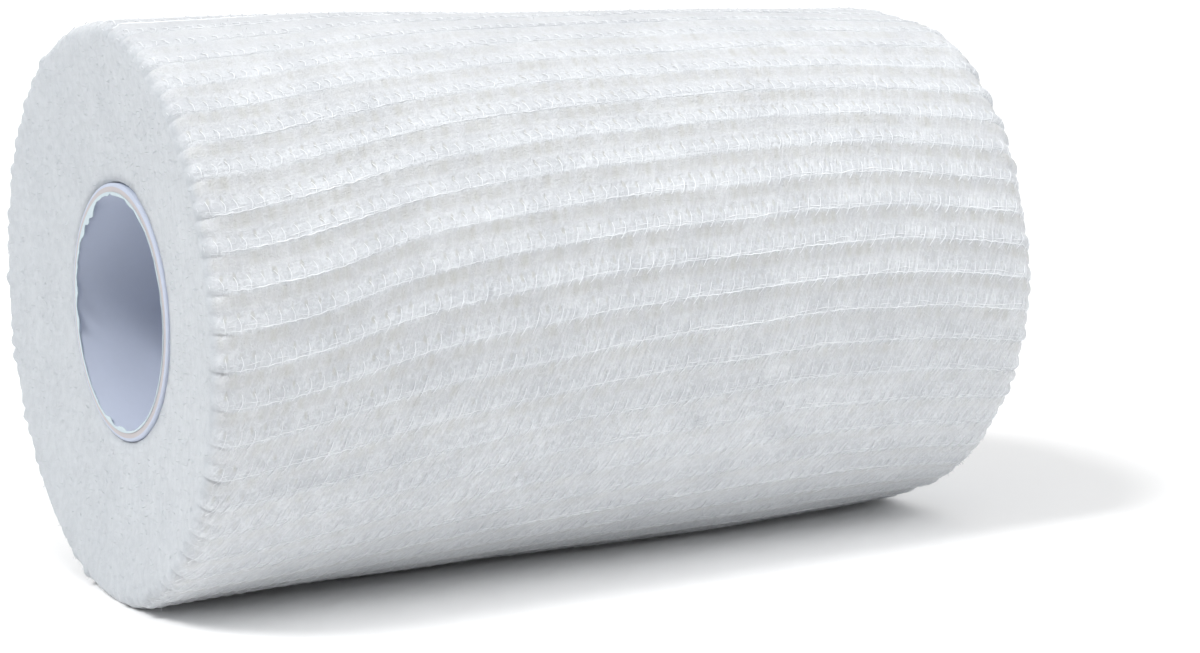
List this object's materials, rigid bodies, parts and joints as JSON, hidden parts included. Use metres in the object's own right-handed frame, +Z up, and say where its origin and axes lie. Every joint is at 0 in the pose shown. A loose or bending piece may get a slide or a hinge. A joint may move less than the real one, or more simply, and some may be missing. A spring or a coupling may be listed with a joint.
{
  "type": "cohesive bandage roll",
  "caption": "Roll of ribbed white cohesive gauze bandage wound on a plain tube core, lying on its side with an open bore through it.",
  "frame": {"origin": "on the surface that the roll rests on, under the middle of the roll", "axes": "+X along the roll's axis, with the end that the picture shows at -X; +Z up; -Y is the side that the picture shows"},
  "size_m": [0.1, 0.0606, 0.0604],
  "materials": {
    "gauze": "dull white elastic gauze with raised cross ribs and felted cut edges",
    "core": "plain off-white tube with rough cut ends"
  },
  "bodies": {
    "root": {"wound_cloth": "gauze", "core_tube": "core"}
  },
  "joints": []
}
